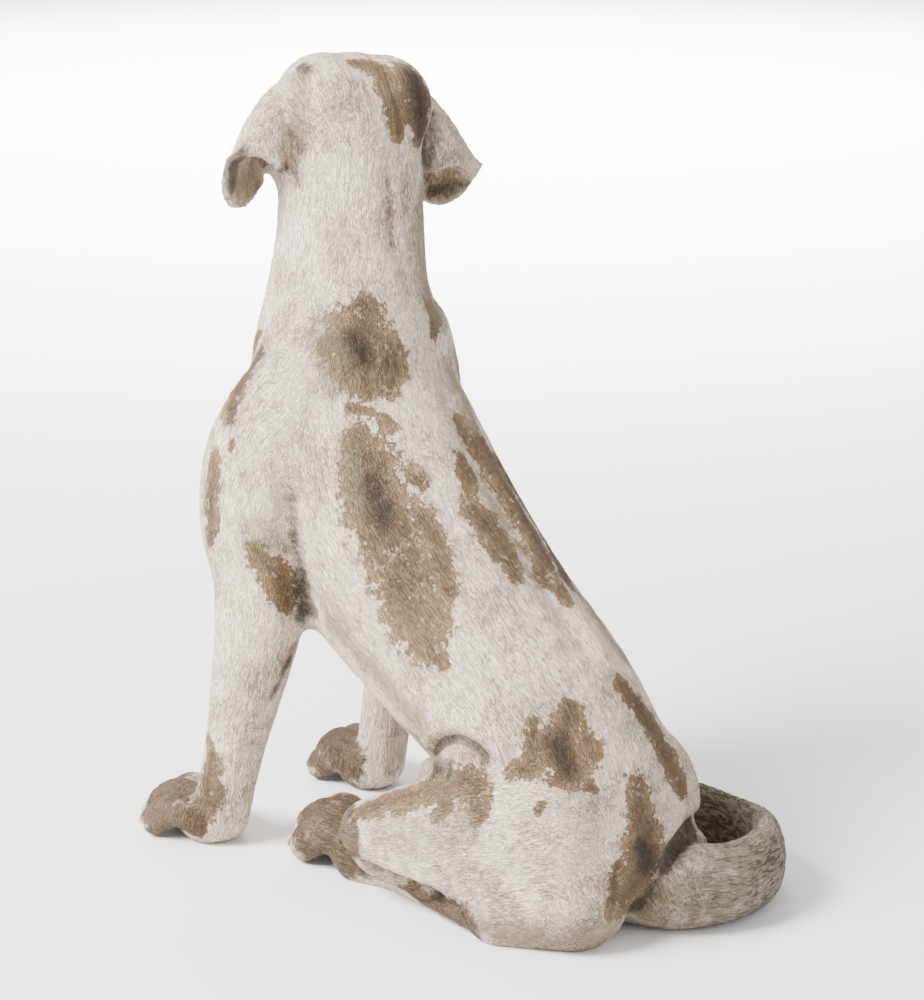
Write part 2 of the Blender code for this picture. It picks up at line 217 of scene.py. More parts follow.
SHANK = [(10.2, -4.4, 4.4, 2.8, 3.0), (9.8, -10.6, 2.8, 2.8, 3.0), (9.8, -15.0, 2.8, 3.3, 3.0)]
HIND_FOOT = [
    (9.6, -14.0, 2.4, 3.1, 2.8),
    (8.5, -6.0, 2.2, 2.9, 2.8),
    (8.3, -1.5, 2.4, 3.0, 3.1),
    (8.9, 2.2, 2.6, 3.5, 3.5),
]
SEAT = [(5.6, -22.5, 4.2, 5.6, 5.2), (7.3, -17.6, 3.0, 6.4, 4.8)]
TAIL = [
    (-0.4, -23.6, 5.2, 4.0, 4.8),
    (-3.4, -27.2, 4.2, 3.9, 4.3),
    (-7.8, -29.3, 3.7, 3.4, 3.7),
    (-13.2, -29.0, 3.7, 2.3, 3.8),
    (-17.8, -25.4, 3.6, 1.8, 3.6),
    (-19.9, -20.0, 3.3, 1.7, 3.2),
    (-19.6, -14.6, 3.4, 1.8, 3.3),
    (-17.4, -10.8, 3.1, 1.7, 3.1),
]
SHEATH = [(0.0, -6.0, 8.0, 2.4, 2.4), (0.3, 1.4, 8.4, 1.7, 1.7)]
print("the spine has", len(TRUNK) + len(NECK), "keys and the tail", len(TAIL))

# %% [markdown]
# ## From balls to one skin
#
# Balls that only overlap are not a solid. A voxel remesh fuses them into one closed skin, and then the
# creases between them are filled, as a wet thumb fills clay: smoothing moves the hollows outwards freely
# and takes only a share from the crests, so the figure doesn't shrink.

# %% Objects, fusing and settling


def to_object(shape, name):
    """Turns an edited mesh into an object of the scene."""
    mesh = bpy.data.meshes.new(name)
    shape.to_mesh(mesh)
    shape.free()
    made = bpy.data.objects.new(name, mesh)
    bpy.context.scene.collection.objects.link(made)
    return made


def baked(obj):
    """Replaces an object's mesh by what its modifiers make of it."""
    graph = bpy.context.evaluated_depsgraph_get()
    mesh = bpy.data.meshes.new_from_object(obj.evaluated_get(graph))
    obj.modifiers.clear()
    obj.data = mesh
    return obj


def fused(parts, name, voxel):
    """Joins pieces of clay into one closed skin."""
    clay = bmesh.new()
    for part in parts:
        clay.from_mesh(baked(part).data)
        bpy.data.objects.remove(part)
    whole = to_object(clay, name)
    remesh = whole.modifiers.new("Fuse", "REMESH")
    remesh.mode = "VOXEL"
    remesh.voxel_size = voxel
    return baked(whole)


def arrays(mesh):
    """The places, outward directions and edges of a mesh."""
    count = len(mesh.vertices)
    places = np.empty(count * 3, np.float32)
    normals = np.empty(count * 3, np.float32)
    edges = np.empty(len(mesh.edges) * 2, np.int32)
    mesh.vertices.foreach_get("co", places)
    mesh.vertices.foreach_get("normal", normals)
    mesh.edges.foreach_get("vertices", edges)
    return places.reshape(-1, 3).astype(float), normals.reshape(-1, 3).astype(float), edges.reshape(-1, 2)


def smoothed(values, edges, passes):
    """Spreads each point's values over its neighbours, half and half, as often as asked."""
    ends = np.concatenate([edges[:, 0], edges[:, 1]])
    others = np.concatenate([edges[:, 1], edges[:, 0]])
    valence = np.bincount(ends, minlength=len(values))[:, None]
    for _ in range(passes):
        sums = [np.bincount(ends, column[others], len(values)) for column in values.T]
        values = 0.5 * values + 0.5 * np.stack(sums, axis=1) / valence
    return values


def move_to(obj, places):
    """Puts an object's points at new places."""
    obj.data.vertices.foreach_set("co", places.astype(np.float32).ravel())
    obj.data.update()


def settle(obj, passes, shave):
    """Fills the creases. Crests lose only the share shave of what plain smoothing takes."""
    places, normals, edges = arrays(obj.data)
    smooth = smoothed(places, edges, passes)
    rise = ((smooth - places) * normals).sum(axis=1)
    slide = (smooth - places) - rise[:, None] * normals
    rise = np.where(rise > 0, rise, shave * rise)
    move_to(obj, places + 0.5 * slide + rise[:, None] * normals)


print("a skin can be fused and settled")

# %% [markdown]
# ## The skull and the masses
#
# The skull is two lobes over a hollow nape, with cheeks below. The head has a frame of its own, turned to
# the dog's right, so its keys are symmetric. The face is pressed on later, because the many passes that
# settle the big masses would melt it.

# %% The masses fused


def skull(clay):
    """The two lobes of the skull and the cheeks, in the head's own centimetres."""
    ball(clay, (0, 0.2, 0.6), (7.0, 7.4, 6.4), HEAD)
    ball(clay, (0, -3.6, -0.4), (5.6, 4.0, 5.6), HEAD)
    ball(clay, (0, 5.0, -2.4), (4.6, 5.0, 5.2), HEAD)
    ball(clay, (3.0, -0.6, 2.1), (4.7, 6.0, 5.1), HEAD)
    ball(clay, (-3.0, -0.6, 1.8), (4.6, 6.0, 4.9), HEAD)
    for side in (-1, 1):
        ball(clay, (side * 4.4, 3.0, -2.8), (3.0, 4.4, 4.2), HEAD)


MASS_GRAIN = 0.62 * CM
masses = bmesh.new()
for keys in (TRUNK, BREAST, NECK, LEFT_SHOULDER, RIGHT_SHOULDER, LEFT_FORELEG, RIGHT_FORELEG):
    strand(masses, keys)
for keys in (THIGH, SHANK, SEAT):
    strand(masses, keys)
    strand(masses, mirrored(keys))
skull(masses)
body = fused([to_object(masses, "masses")], "body", MASS_GRAIN)
settle(body, passes=24, shave=0.12)
print("the masses are one skin of", len(body.data.polygons), "faces")

# %% [markdown]
# ## Marks cut along a line
#
# A furrow, a roll of skin or the line of the mouth is a stroke of the modelling tool. A stroke is a few
# points near the surface, a width and a depth. The curve through them is laid on the skin, and the skin
# sinks beside it, deepest on the line and fading at both ends. A negative depth raises a ridge.

# %% A stroke of the modelling tool


STROKE_REACH = 3.2


def nearness(points, path, width):
    """1 on the path, falling to 0 beside it over the width and at its two ends."""
    reach = STROKE_REACH * width
    close = np.all((points > path.min(axis=0) - reach) & (points < path.max(axis=0) + reach), axis=1)
    found = points[close]
    lengths = np.linalg.norm(np.diff(path, axis=0), axis=1)
    starts = np.concatenate([[0], np.cumsum(lengths)])
    nearest = np.full(len(found), np.inf)
    reached = np.zeros(len(found))
    for start, end, length, before in zip(path, path[1:], lengths, starts):
        share = np.clip(((found - start) @ (end - start)) / max(length, 1e-6) ** 2, 0, 1)
        away = np.linalg.norm(found - start - share[:, None] * (end - start), axis=1)
        closer = away < nearest
        nearest = np.where(closer, away, nearest)
        reached = np.where(closer, before + share * length, reached)
    from_end = np.minimum(reached, starts[-1] - reached)
    taper = np.clip((from_end + 0.5 * width) / (2.0 * width), 0, 1)
    result = np.zeros(len(points))
    result[close] = np.exp(-((nearest / width) ** 2)) * taper * taper * (3 - 2 * taper)
    return result


def carve(obj, marks, place):
    """Cuts each mark, given as its points, width and depth, into the skin."""
    places, normals, _ = arrays(obj.data)
    depth = np.zeros(len(places))
    for keys, width, cut in marks:
        path = [obj.closest_point_on_mesh(place @ along(*key))[1] for key in spline(keys, 6)]
        depth += cut * CM * nearness(places, np.array(path), width * CM)
    move_to(obj, places - depth[:, None] * normals)


def both_sides(marks):
    """The marks and their mirror images."""
    return marks + [(mirrored(keys), width, cut) for keys, width, cut in marks]


SOCKETS = [([(5.4, 4.8, 1.2), (3.4, 6.8, 0.8), (1.8, 7.6, 0.2)], 1.5, 1.1)]
carve(body, both_sides(SOCKETS), HEAD)
print("the eye sockets are sunk")

# %% [markdown]
# ## Ears
#
# An ear is a leaf of even thickness that stands off the skull behind, folds over and hangs with its tip
# forward. Three ribs, at its rear edge, middle and front edge, are enough: every other rib is a blend of
# them, each rib is a cubic curve, and a Solidify modifier gives the leaf its thickness.

# %% The two ears
LEFT_REAR_RIB = [(6.2, -2.8, -5.4), (8.6, -3.6, -5.0), (9.8, -3.0, 0.6), (13.4, -1.2, -2.4)]
RIGHT_REAR_RIB = [(6.0, -2.8, -4.6), (8.2, -3.6, -4.4), (10.8, -3.4, -3.8), (13.1, -1.4, -2.8)]
MIDDLE_RIB = [(5.6, 0.6, 3.2), (8.0, 0.8, 3.0), (12.0, 1.2, 0.4), (11.6, 2.2, -7.4)]
FRONT_RIB = [(5.2, 4.2, 2.4), (6.6, 5.4, 1.8), (7.8, 6.2, -2.6), (7.0, 5.2, -7.0)]
EAR_THICKNESS = 1.15 * CM
RIGHT_DROOP = 1.2
TIP_ROUNDING = 0.09
EAR_GRID = (25, 29)


def ear(name, side, rear, droop):
    """One ear: a leaf lofted through its blended ribs, that hangs lower by its droop."""
    across, down = EAR_GRID
    leaf = bmesh.new()
    rows = []
    for i in range(across):
        share = i / (across - 1)
        blend = ((1 - share) * (1 - 2 * share), 4 * share * (1 - share), share * (2 * share - 1))
        a, b, c, d = np.tensordot(blend, np.array([rear, MIDDLE_RIB, FRONT_RIB]), axes=1)
        reach = 1 - TIP_ROUNDING * max(0, 2 * share - 1) ** 3
        rows.append([])
        for t in np.linspace(0, reach, down):
            p = a * (1 - t) ** 3 + 3 * b * t * (1 - t) ** 2 + 3 * c * t**2 * (1 - t) + d * t**3
            rows[-1].append(leaf.verts.new(HEAD @ along(side * p[0], p[1], p[2] - droop * t**3)))
    for low, high in zip(rows, rows[1:]):
        for j in range(down - 1):
            leaf.faces.new((low[j], low[j + 1], high[j + 1], high[j]))
    sheet = to_object(leaf, name)
    solidify = sheet.modifiers.new("Thickness", "SOLIDIFY")
    solidify.thickness = EAR_THICKNESS
    solidify.offset = 0.0
    return sheet


ears = [ear("left_ear", 1, LEFT_REAR_RIB, 0.0), ear("right_ear", -1, RIGHT_REAR_RIB, RIGHT_DROOP)]
print("each ear is a leaf of", len(ears[0].data.polygons), "faces")

# %% [markdown]
# ## Feet, eyes and nose
#
# A foot has four toes, the middle two longer and higher, each with a blunt claw, over a pad. The eyes
# are balls set in the sockets, with a lid laid round each as a thin strand. The nose is a blunt pad.

# %% Feet with claws


def paw(clay, heel, turn, size, width):
    """One foot. heel is where the toes start, turn is its heading to the left."""
    place = Matrix.Translation(at(*heel)) @ Matrix.Rotation(turn, 4, "Z") @ Matrix.Scale(size, 4)
    ball(clay, (0, 0.8, 2.4), (3.6 * width, 3.6, 2.9), place)
    for spot in (-1.5, -0.5, 0.5, 1.5):
        outer = abs(spot) > 1
        side = spot * 2.1 * width
        reach = 5.2 if outer else 7.0
        knuckle = 3.2 if outer else 3.9
        toe = [
            (side * 0.80, 0.6, 2.8, 1.25, 1.7),
            (side * 0.98, reach * 0.52, knuckle, 1.3, 1.7),
            (side * 1.06, reach * 0.86, knuckle * 0.70, 1.25, 1.6),
            (side * 1.08, reach, 1.5, 1.1, 1.4),
        ]
        claw = [(side * 1.08, reach + 0.9, 2.0, 0.5, 0.6), (side * 1.1, reach + 1.9, 1.1, 0.3, 0.35)]
        strand(clay, toe, place)
        strand(clay, claw, place)


features = bmesh.new()
for keys in (HIND_FOOT, mirrored(HIND_FOOT), SHEATH):
    strand(features, keys)
strand(features, TAIL, upright=True)
FEET = [
    ((13.3, 19.4, 0.0), 8, 1.04, 1.0),
    ((-8.0, 19.4, 0.0), -4, 1.02, 1.0),
    ((8.4, 2.1, 0.0), -2, 1.2, 0.76),
    ((-8.4, 2.0, 0.0), 2, 1.14, 0.78),
]
for heel, degrees, size, width in FEET:
    paw(features, heel, math.radians(degrees), size, width)
print("feet, tail and sheath are", len(features.faces), "faces of clay")

# %% The face, and the skin fused again
FINE_GRAIN = 0.23 * CM


def eye(clay, side):
    """An eyeball with its upper and lower lid."""
    ball(clay, (side * 3.5, 6.0, 1.0), (1.35, 1.4, 1.2), HEAD)
    for lift in (1, -1):
        lid = []
        for step in np.linspace(-1.25, 1.25, 7):
            out = side * (3.6 + 1.25 * math.sin(step))
            ahead = 6.0 + 1.3 * math.cos(step)
            lid.append((out, ahead, 1.0 + lift * (0.3 + 0.62 * math.cos(step)), 0.26, 0.26))
        strand(clay, lid, HEAD)


def face(clay):
    """The brows, muzzle, hanging lips, lower jaw, nose and eyes."""
    strand(clay, [(0, 5.0, -0.4, 3.6, 3.2), (0, 9.5, -1.5, 2.8, 2.9), (0, 13.4, -1.9, 2.4, 2.6)], HEAD)
    strand(clay, [(0, 3.0, -6.6, 4.0, 2.8), (0, 8.0, -7.3, 2.7, 1.8), (0, 12.0, -7.0, 1.9, 1.4)], HEAD)
    ball(clay, (0, 15.2, -0.9), (1.9, 1.5, 1.5), HEAD)
    for side in (-1, 1):
        lip = [(2.4, 4.6, -4.0, 2.6, 3.4), (2.2, 9.6, -4.4, 2.0, 2.7), (1.6, 13.4, -4.0, 1.9, 2.5)]
        brow = [(1.6, 6.1, 2.4, 1.2, 1.1), (3.2, 5.7, 3.0, 1.4, 1.2), (4.9, 4.2, 2.3, 1.3, 1.1)]
        for keys in (lip, brow):
            strand(clay, [(side * left, *rest) for left, *rest in keys], HEAD)
        eye(clay, side)


face(features)
dog = fused([body, to_object(features, "features"), *ears], "dog_skin", FINE_GRAIN)
settle(dog, passes=10, shave=0.3)
print("the fine skin has", len(dog.data.vertices), "points")

# %% [markdown]
# ## Carving
#
# The large strokes follow the anatomy: the furrow of the spine, the crease of the armpit, the fold of
# the flank, the edge of the thigh over the foot, and the line of the mouth. The marks of the flank and
# the face are cut on both sides, and those of the midline and the nose only once.

# %% The strokes and their cutting
MIDLINE_MARKS = [
    ([(-0.8, 2.2, 47.5), (-1.0, -6.2, 37.3), (-0.6, -13.0, 29.8), (-0.4, -18.0, 24.4)], 1.3, 0.5),
    ([(-3.2, 1.6, 47.0), (-3.2, -6.6, 37.0), (-2.8, -13.2, 29.8), (-2.4, -19.5, 22.5)], 1.2, -0.3),
    ([(1.2, 6.6, 67.3), (1.3, 6.1, 63.2), (1.4, 5.6, 59.6)], 0.7, 0.4),
    (
        [(1.8, -26.0, 1.8), (-0.4, -27.4, 5.4), (-3.2, -27.2, 8.2), (-6.6, -25.0, 8.6), (-9.0, -22.4, 7.6)],
        0.8,
        0.9,
    ),
]
FLANK_MARKS = [
    ([(12.6, 8.6, 38.5), (12.2, 8.3, 33.0), (11.6, 8.2, 28.6), (9.4, 8.6, 24.8)], 1.2, 0.8),
    (
        [(9.8, -8.6, 14.4), (9.8, -9.6, 16.4), (9.9, -11.8, 17.8), (9.8, -14.2, 17.4), (10.2, -16.2, 16.2)],
        0.8,
        1.0,
    ),
    ([(9.2, -7.4, 15.4), (10.4, -9.2, 17.8), (10.6, -12.2, 19.4), (10.1, -15.4, 18.8)], 1.0, -0.5),
    ([(10.0, -9.0, 14.2), (10.4, -10.6, 15.9), (10.6, -13.0, 16.6), (11.0, -15.0, 16.0)], 0.8, -0.8),
    ([(11.6, -11.4, 14.9), (11.8, -12.2, 15.1)], 0.9, 0.9),
    (
        [(10.8, 1.6, 7.0), (13.2, -1.6, 4.6), (14.2, -5.0, 4.2), (14.2, -9.0, 3.2), (13.6, -13.0, 2.2)],
        0.8,
        0.9,
    ),
    ([(13.8, -11.4, 5.2), (13.6, -15.4, 6.2)], 2.2, 0.5),
    ([(8.6, -3.6, 15.6), (9.6, -6.2, 13.2), (9.8, -8.2, 11.2)], 1.6, 0.9),
]
NOSE_MARKS = [([(0.0, 16.6, -2.0), (0.0, 16.0, -4.4)], 0.25, 0.3)]
FACE_MARKS = [
    ([(0.8, 15.4, -5.9), (2.4, 13.0, -6.4), (3.2, 9.0, -6.6), (3.6, 5.4, -5.8)], 0.5, 0.5),
    ([(0.0, 7.6, 2.8), (0.0, 2.6, 6.6)], 0.9, 0.4),
    ([(0.7, 16.6, -1.2), (1.2, 16.2, -1.1), (1.6, 15.6, -0.8)], 0.32, 0.45),
]
carve(dog, MIDLINE_MARKS, BODY)
carve(dog, both_sides(FLANK_MARKS), BODY)
carve(dog, both_sides(FACE_MARKS), HEAD)
carve(dog, NOSE_MARKS, HEAD)
print("cut", len(MIDLINE_MARKS) + 2 * len(FLANK_MARKS) + 2 * len(FACE_MARKS), "large strokes")

# %% [markdown]
# ## Which way the fur lies
#
# Fur runs along the body and along each limb. To carve strokes that do the same, every point of the skin
# is given coordinates that follow an axis: how far along it, and how far to either side. A pattern that
# is long in the first and short in the others then lies like fur. The trunk, from the brow to the seat,
# is one axis, and each leg, thigh, foot, ear, the muzzle and the tail has its own. A share says which of
# the two patterns a point shows, and it passes smoothly from one to the other.

# %% Axes of the fur
SPINE_FLOW = [
    (-3.0, 21.0, 70.0, 5.0),
    (-2.2, 18.6, 72.0, 6.4),
    (-0.4, 13.0, 69.5, 8.0),
    (0.4, 12.4, 60.0, 8.0),
    (1.1, 11.6, 50.0, 10.0),
    (1.0, 8.6, 38.2, 12.0),
    (0.6, 3.0, 30.0, 12.5),
    (0.3, -5.2, 22.3, 11.5),
    (0.0, -12.0, 15.7, 10.5),
    (0.1, -18.0, 9.0, 9.5),
    (0.2, -23.4, 4.4, 8.0),
]


FIRST_SIDE = (0.31, 0.17, 0.93)
AXIS_BLUR = 1.6 * CM
PATTERN_SHIFT = 0.7
PASSAGE = 0.5


def axis_of(keys, place=BODY):
    """An axis as its places, directions, two side directions, lengths from its start and radii."""
    rows = spline(keys, 6)
    line = np.array([place @ along(*row[:3]) for row in rows])
    ahead = np.gradient(line, axis=0)
    ahead /= np.linalg.norm(ahead, axis=1)[:, None]
    side = np.cross(ahead[0], FIRST_SIDE)
    sides = []
    for direction in ahead:
        side = side - direction * (side @ direction)
        side = side / np.linalg.norm(side)
        sides.append(side)
    sides = np.array(sides)
    steps = np.linalg.norm(np.diff(line, axis=0), axis=1)
    lengths = np.concatenate([[0], np.cumsum(steps)])
    return line, ahead, sides, np.cross(ahead, sides), lengths, rows[:, 3] * CM


def follow(points, axis):
    """Each point's offsets from the axis and length along it, and its distance as a share of the radius."""
    line, ahead, sides, ups, lengths, radii = axis
    squares = [((points - spot) ** 2).sum(axis=1) for spot in line]
    least = np.min(squares, axis=0)
    total = np.zeros(len(points))
    sums = np.zeros((len(points), 4))
    for k, spot in enumerate(line):
        weight = np.exp(-(squares[k] - least) / (2 * AXIS_BLUR**2))
        offset = points - spot
        across = offset @ np.stack([sides[k], ups[k], ahead[k]], axis=1)
        across[:, 2] += lengths[k]
        sums[:, :3] += weight[:, None] * across
        sums[:, 3] += weight * radii[k]
        total += weight
    sums /= total[:, None]
    return sums[:, :3], np.sqrt(least) / sums[:, 3]


def limb_axes():
    """The axes of the limbs, ears and muzzle."""
    ear_line = [(5.6, 0.6, 3.0), (8.6, 0.8, 2.6), (11.0, 1.4, -1.6), (11.0, 2.4, -6.0)]
    muzzle = [(0, 5.0, -1.6, 4.2), (0, 10.0, -3.4, 3.4), (0, 15.6, -3.6, 3.0)]
    found = [axis_of(muzzle, HEAD)]
    for side in (-1, 1):
        found.append(axis_of([(side * left, forward, up, 2.4) for left, forward, up in ear_line], HEAD))
    bones = [LEFT_SHOULDER[:-1] + LEFT_FORELEG, RIGHT_SHOULDER[:-1] + RIGHT_FORELEG, TAIL]
    for leg in (THIGH, HIND_FOOT):
        bones += [leg, mirrored(leg)]
    for keys in bones:
        found.append(axis_of([(left, forward, up, (w + d) / 2) for left, forward, up, w, d in keys]))
    return found


def add_flow(obj):
    """Stores the fur's coordinates on the points of a skin."""
    places, _, _ = arrays(obj.data)
    body_flow, body_reach = follow(places, axis_of(SPINE_FLOW))
    limb_flow = np.zeros_like(body_flow)
    limb_reach = np.full(len(places), np.inf)
    for number, axis in enumerate(limb_axes()):
        coordinates, reach = follow(places, axis)
        closer = reach < limb_reach
        limb_flow[closer] = coordinates[closer] + PATTERN_SHIFT * number
        limb_reach = np.minimum(limb_reach, reach)
    share = np.clip(0.5 + (body_reach - limb_reach) / PASSAGE, 0, 1)
    store(obj, "flow_body", body_flow)
    store(obj, "flow_limb", limb_flow)
    store(obj, "limb_share", share)


def store(obj, name, values):
    """Keeps numbers or vectors as a named attribute of a skin's points."""
    kind, field = ("FLOAT", "value") if values.ndim == 1 else ("FLOAT_VECTOR", "vector")
    made = obj.data.attributes.get(name) or obj.data.attributes.new(name, kind, "POINT")
    made.data.foreach_set(field, values.astype(np.float32).ravel())


add_flow(dog)
print("fur lies along", 1 + len(limb_axes()), "axes")

# %% [markdown]
# ## Nodes written as sums
#
# Both the fur relief and the finish are node trees. Wrapping a socket in a small class lets Python's own
# signs add the Math nodes, so `1 - mask` reads as it would on paper. Every other node comes from one
# method of the tree's wrapper: its type, its settings, and what goes into its sockets.

# %% A wrapped socket and a wrapped tree


def sign(operation, reflected=False):
    """A method for one of Python's signs, which adds the Math node of that operation."""

    def added(self, other):
        first, second = (other, self) if reflected else (self, other)
        return self.net.math(operation, first, second)

    return added


class Wire:
    """What comes out of a node. Sums and products of wires add Math nodes."""

    def __init__(self, net, socket):
        self.net = net
        self.socket = socket

    __add__ = sign("ADD")
    __radd__ = sign("ADD", True)
    __sub__ = sign("SUBTRACT")
    __rsub__ = sign("SUBTRACT", True)
    __mul__ = sign("MULTIPLY")
    __rmul__ = sign("MULTIPLY", True)
    __rtruediv__ = sign("DIVIDE", True)

    def __abs__(self):
        return self.net.math("ABSOLUTE", self, 0.0)


class Net:
    """A node tree that is written in Python."""

    def __init__(self, tree):
        self.tree = tree

    def node(self, kind, settings, sockets, output=0):
        """Adds one node: its settings first, then values or wires for its sockets."""
        made = self.tree.nodes.new(kind)
        for name, value in settings.items():
            setattr(made, name, value)
        for key, value in sockets.items():
            if isinstance(value, Wire):
                self.tree.links.new(value.socket, made.inputs[key])
            else:
                made.inputs[key].default_value = value
        return Wire(self, made.outputs[output])

    def math(self, operation, first, second):
        """One Math node."""
        return self.node("ShaderNodeMath", {"operation": operation}, {0: first, 1: second})

    def stretched(self, vector, sizes):
        """A vector divided by a size along each of its axes."""
        scale = tuple(1 / size for size in sizes)
        return self.node("ShaderNodeVectorMath", {"operation": "MULTIPLY"}, {0: vector, 1: scale})

    def noise(self, vector, scale, detail=2.0, roughness=0.5, warp=0.0):
        """Cloudy numbers about 0.5."""
        sockets = {"Vector": vector, "Scale": scale, "Detail": detail, "Roughness": roughness}
        return self.node("ShaderNodeTexNoise", {}, {**sockets, "Distortion": warp})

    def step(self, value, low, high):
        """0 below low, 1 above high, and smooth between them."""
        settings = {"interpolation_type": "SMOOTHSTEP"}
        return self.node("ShaderNodeMapRange", settings, {"Value": value, "From Min": low, "From Max": high})

    def blend(self, share, under, over):
        """A number that passes from under to over."""
        return self.node("ShaderNodeMix", {"data_type": "FLOAT"}, {0: share, 2: under, 3: over})

    def tint(self, share, under, over):
        """A colour that passes from under to over."""
        return self.node("ShaderNodeMix", {"data_type": "RGBA"}, {0: share, 6: under, 7: over}, 2)


print("a net can", ", ".join(name for name in vars(Net) if not name.startswith("_")))

# %% [markdown]
# ## Fur in relief
#
# The coarser strokes of the modelling tool are real relief, so a Geometry Nodes tree sinks them into the
# skin along its normal. Its inputs are the stroke's width, length and depth, and a seed that shifts the
# pattern. The tree reads the fur's coordinates from the skin, and the same few nodes serve every limb.

# %% The tree that carves fur


def fur_tree():
    """A Geometry Nodes tree that carves long strokes along the fur."""
    tree = bpy.data.node_groups.new("carve_fur", "GeometryNodeTree")
    tree.interface.new_socket("Geometry", in_out="INPUT", socket_type="NodeSocketGeometry")
    for name, value in (("Stroke Width", 0.004), ("Stroke Length", 0.03), ("Depth", 0.0006), ("Seed", 7.0)):
        tree.interface.new_socket(name, in_out="INPUT", socket_type="NodeSocketFloat").default_value = value
    tree.interface.new_socket("Material", in_out="INPUT", socket_type="NodeSocketMaterial")
    tree.interface.new_socket("Geometry", in_out="OUTPUT", socket_type="NodeSocketGeometry")
    net = Net(tree)
    given = tree.nodes.new("NodeGroupInput")
    skin, width, length, depth, seed, material = (Wire(net, given.outputs[k]) for k in range(6))
    scale = net.node("ShaderNodeCombineXYZ", {}, {0: 1 / width, 1: 1 / width, 2: 1 / length})
    patterns = []
    for name in ("flow_body", "flow_limb"):
        flow = net.node("GeometryNodeInputNamedAttribute", {"data_type": "FLOAT_VECTOR"}, {"Name": name})
        spread = net.node("ShaderNodeVectorMath", {"operation": "MULTIPLY"}, {0: flow, 1: scale})
        shifted = net.node("ShaderNodeVectorMath", {"operation": "ADD"}, {0: spread, 1: seed})
        patterns.append(net.noise(shifted, 1.0, 1.0, 0.6, 0.4))
    share = net.node("GeometryNodeInputNamedAttribute", {"data_type": "FLOAT"}, {"Name": "limb_share"})
    furrow = net.step(net.blend(share, *patterns), 0.62, 0.38)
    normal = net.node("GeometryNodeInputNormal", {}, {})
    inward = furrow * depth * -1
    sink = net.node("ShaderNodeVectorMath", {"operation": "SCALE"}, {0: normal, "Scale": inward})
    carved = net.node("GeometryNodeSetPosition", {}, {"Geometry": skin, "Offset": sink})
    whole = net.node("GeometryNodeRealizeInstances", {}, {"Geometry": carved})
    dressed = net.node("GeometryNodeSetMaterial", {}, {"Geometry": whole, "Material": material})
    tree.links.new(dressed.socket, tree.nodes.new("NodeGroupOutput").inputs[0])
    return tree


print("the fur tree is ready")

# %% [markdown]
# ## What time does to the surface
#
# Before the fur is cut, the skin is still an even grid, which is the best moment to measure it. A few
# numbers are kept on its points: how worn the limewash is, how deep a point lies in a crease, how much
# soot, earth and moss have gathered there, and where shade is painted: with the soot in the hollows, and
# with some grime on the far side and the undersides. The worn patches follow the places where hands
# and weather rub: shoulder, flank, spine, hip, knee and brow.
#
# A patch is a strand of round spots. On the side that the picture shows, each spot is placed through the
# camera's frame, as (across, down, radius): a ray from the camera finds the skin behind that place. On
# the hidden side it is given in the figure's centimetres, as (left, forward, up, radius). Either way the
# spot is a ball in space, so the patch looks right from everywhere.

# %% The camera's frame
FRAME_SIZE = (924, 1000)
SENSOR = 36.0
LENS = 100.8
EYE = at(178.6, -187.0, 105.0)
TARGET = at(-2.0, 0.0, 36.0)

# How many spots lie between two keys of a patch.
SPOTS_SEEN = 4
SPOTS_HIDDEN = 5


def behind(across, down):
    """The point of the skin behind a place in the camera's frame."""
    ahead = (TARGET - EYE).normalized()
    right = ahead.cross(Vector((0, 0, 1))).normalized()
    above = right.cross(ahead)
    depth = LENS / SENSOR * max(FRAME_SIZE)
    ray = ahead * depth + right * (across - FRAME_SIZE[0] / 2) + above * (FRAME_SIZE[1] / 2 - down)
    ray.normalize()
    hit, spot, _, _ = dog.ray_cast(EYE, ray)
    if not hit:
        spot = dog.closest_point_on_mesh(EYE + ray * (TARGET - EYE).length)[1]
    return spot


def seen(patches):
    """The spots of patches that are placed through the camera's frame."""
    rows = [row for keys in patches for row in spline(keys, SPOTS_SEEN)]
    return [(*behind(across, down), radius * CM) for across, down, radius in rows]


def hidden(patches):
    """The spots of patches that are placed in the figure's centimetres."""
    rows = [row for keys in patches for row in spline(keys, SPOTS_HIDDEN)]
    return [(*at(left, forward, up), radius * CM) for left, forward, up, radius in rows]


print("the middle of the frame shows", [round(value, 3) for value in behind(462, 500)])

